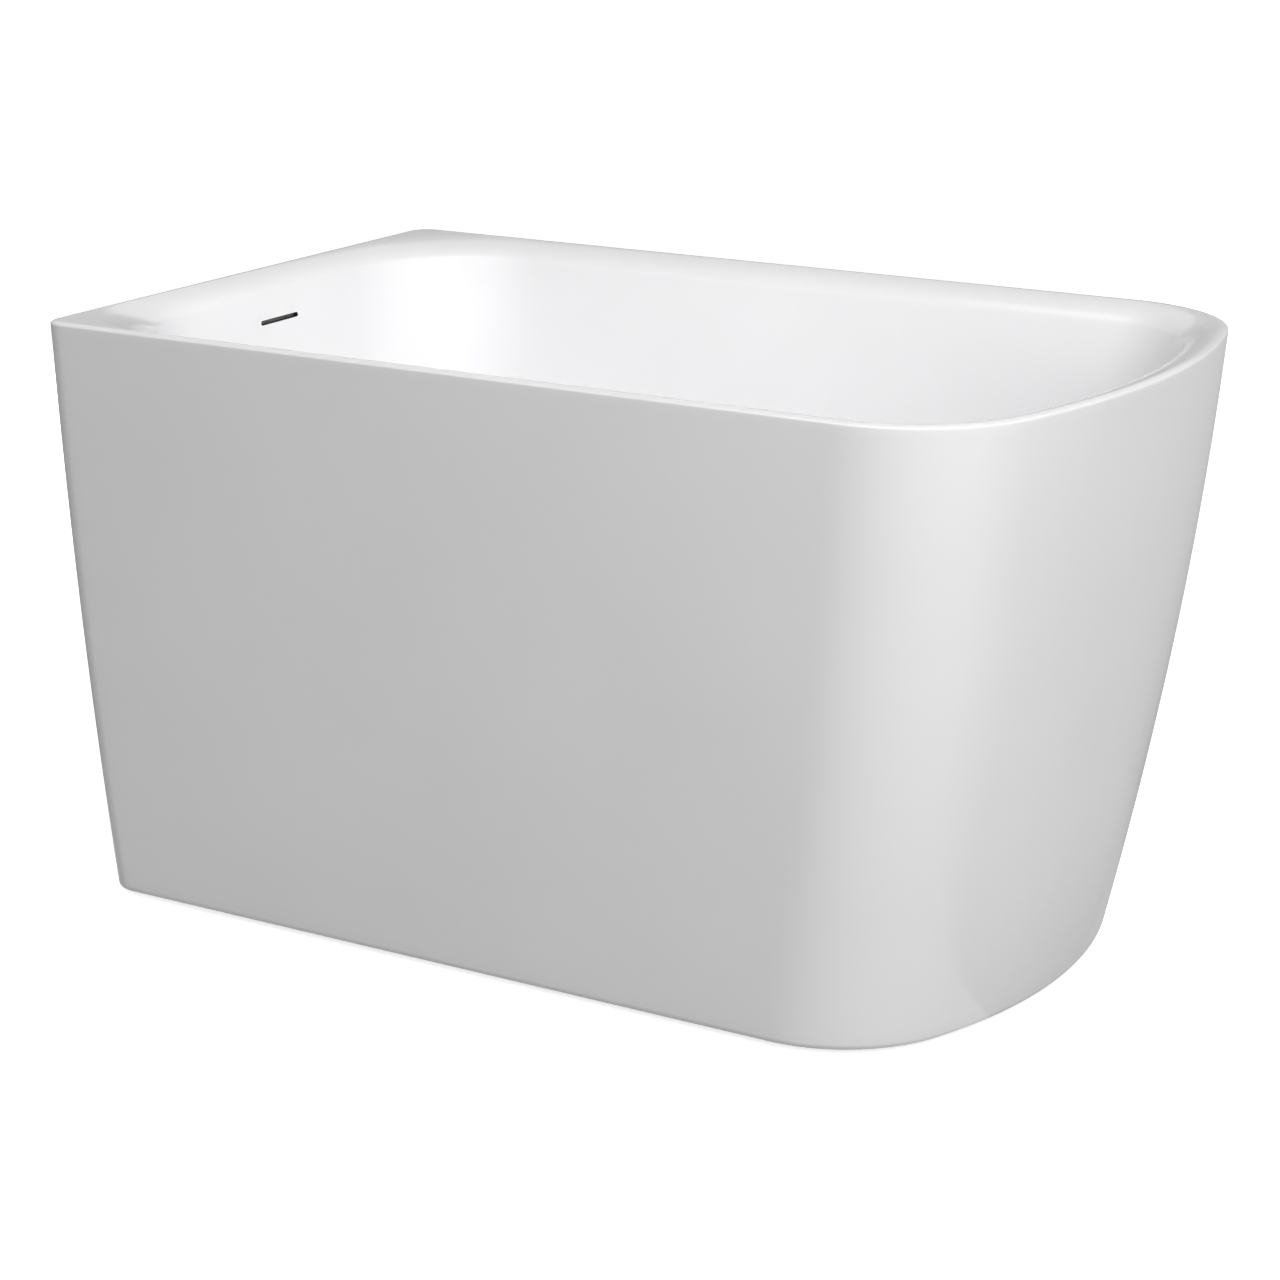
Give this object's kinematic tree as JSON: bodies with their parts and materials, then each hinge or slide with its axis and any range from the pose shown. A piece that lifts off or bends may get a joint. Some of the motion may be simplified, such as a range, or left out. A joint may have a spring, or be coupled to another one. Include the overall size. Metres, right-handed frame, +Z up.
{
  "type": "corner bathtub",
  "caption": "Compact freestanding acrylic bath with a square end for a corner, a rounded end, a tapering skirt, a slot overflow, a push-plug waste and levelling feet.",
  "frame": {"origin": "on the floor, under the middle of the rim's rectangle", "axes": "+X along the bath to its rounded end, +Y to the wall behind it, +Z up"},
  "size_m": [1.1, 0.68, 0.64],
  "materials": {
    "acrylic": "glossy cast acrylic sheet",
    "skirt_acrylic": "glossy cast acrylic sheet",
    "board": "bare particle board",
    "batten": "sawn softwood",
    "frame_steel": "grey powder coat",
    "zinc": "zinc plated",
    "chrome": "polished chrome",
    "white_plastic": "moulded polypropylene",
    "grey_plastic": "corrugated soft plastic",
    "black_plastic": "moulded nylon",
    "rubber": "moulded rubber"
  },
  "bodies": {
    "bath": {"basin_shell": "acrylic", "skirt_shell": "skirt_acrylic", "base_board": "board", "rim_batten_front": "batten", "rim_batten_rear": "batten", "rim_batten_end": "batten", "frame_rail_front": "frame_steel", "frame_rail_rear": "frame_steel", "cross_bar_square_end": "frame_steel", "cross_bar_middle": "frame_steel", "cross_bar_round_end": "frame_steel", "tube_end_caps": "black_plastic", "board_screws": "zinc", "skirt_bracket_1": "zinc", "skirt_bracket_2": "zinc", "skirt_bracket_3": "zinc", "skirt_bracket_4": "zinc", "skirt_bracket_5": "zinc", "skirt_bracket_6": "zinc", "bracket_screws": "zinc", "flange_screws": "zinc", "weld_nuts": "frame_steel", "lock_nuts": "zinc", "waste_flange": "chrome", "waste_flange_seal": "rubber", "waste_lower_seal": "rubber", "waste_body": "white_plastic", "plug_guide": "white_plastic", "overflow_gasket": "rubber", "overflow_housing": "white_plastic", "overflow_hose": "grey_plastic", "hose_clip_upper": "zinc", "hose_clip_lower": "zinc", "trap_union_nut": "white_plastic", "trap_washer": "rubber", "trap_body": "white_plastic", "trap_bowl": "white_plastic", "trap_bowl_seal": "rubber", "outlet_nut": "white_plastic", "outlet_washer": "rubber", "outlet_elbow": "white_plastic"},
    "foot_pad_1": {"foot_pad_1": "black_plastic"},
    "foot_pad_2": {"foot_pad_2": "black_plastic"},
    "foot_pad_3": {"foot_pad_3": "black_plastic"},
    "foot_pad_4": {"foot_pad_4": "black_plastic"},
    "foot_pad_5": {"foot_pad_5": "black_plastic"},
    "foot_stud_1": {"foot_stud_1": "zinc"},
    "foot_stud_2": {"foot_stud_2": "zinc"},
    "foot_stud_3": {"foot_stud_3": "zinc"},
    "foot_stud_4": {"foot_stud_4": "zinc"},
    "foot_stud_5": {"foot_stud_5": "zinc"},
    "plug": {"plug_cap": "chrome", "plug_stem": "zinc", "plug_seal": "rubber"}
  },
  "joints": [
    {"name": "foot_1_height", "type": "slide", "parent": "bath", "child": "foot_pad_1", "axis": [0, 0, -1], "range_m": [-0.0035, 0.01925]},
    {"name": "foot_1_turn", "type": "hinge", "parent": "foot_pad_1", "child": "foot_stud_1", "pos_m": [-0.4, -0.17, 0.012], "axis": [0, 0, -1], "range_deg": [-726, 3966]},
    {"name": "foot_2_height", "type": "slide", "parent": "bath", "child": "foot_pad_2", "axis": [0, 0, -1], "range_m": [-0.0035, 0.01925]},
    {"name": "foot_2_turn", "type": "hinge", "parent": "foot_pad_2", "child": "foot_stud_2", "pos_m": [-0.4, 0.17, 0.012], "axis": [0, 0, -1], "range_deg": [-726, 3966]},
    {"name": "foot_3_height", "type": "slide", "parent": "bath", "child": "foot_pad_3", "axis": [0, 0, -1], "range_m": [-0.0035, 0.01925]},
    {"name": "foot_3_turn", "type": "hinge", "parent": "foot_pad_3", "child": "foot_stud_3", "pos_m": [0.3, -0.17, 0.012], "axis": [0, 0, -1], "range_deg": [-726, 3966]},
    {"name": "foot_4_height", "type": "slide", "parent": "bath", "child": "foot_pad_4", "axis": [0, 0, -1], "range_m": [-0.0035, 0.01925]},
    {"name": "foot_4_turn", "type": "hinge", "parent": "foot_pad_4", "child": "foot_stud_4", "pos_m": [0.3, 0.17, 0.012], "axis": [0, 0, -1], "range_deg": [-726, 3966]},
    {"name": "foot_5_height", "type": "slide", "parent": "bath", "child": "foot_pad_5", "axis": [0, 0, -1], "range_m": [-0.0035, 0.01925]},
    {"name": "foot_5_turn", "type": "hinge", "parent": "foot_pad_5", "child": "foot_stud_5", "pos_m": [-0.04, 0, 0.012], "axis": [0, 0, -1], "range_deg": [-726, 3966]},
    {"name": "plug_lift", "type": "slide", "parent": "bath", "child": "plug", "axis": [0, 0, 1], "range_m": [0, 0.009]}
  ],
  "couplings": [
    {"joint": "foot_1_turn", "follows": "foot_1_height", "rad_per_m": 3590.4},
    {"joint": "foot_2_turn", "follows": "foot_2_height", "rad_per_m": 3590.4},
    {"joint": "foot_3_turn", "follows": "foot_3_height", "rad_per_m": 3590.4},
    {"joint": "foot_4_turn", "follows": "foot_4_height", "rad_per_m": 3590.4},
    {"joint": "foot_5_turn", "follows": "foot_5_height", "rad_per_m": 3590.4}
  ]
}
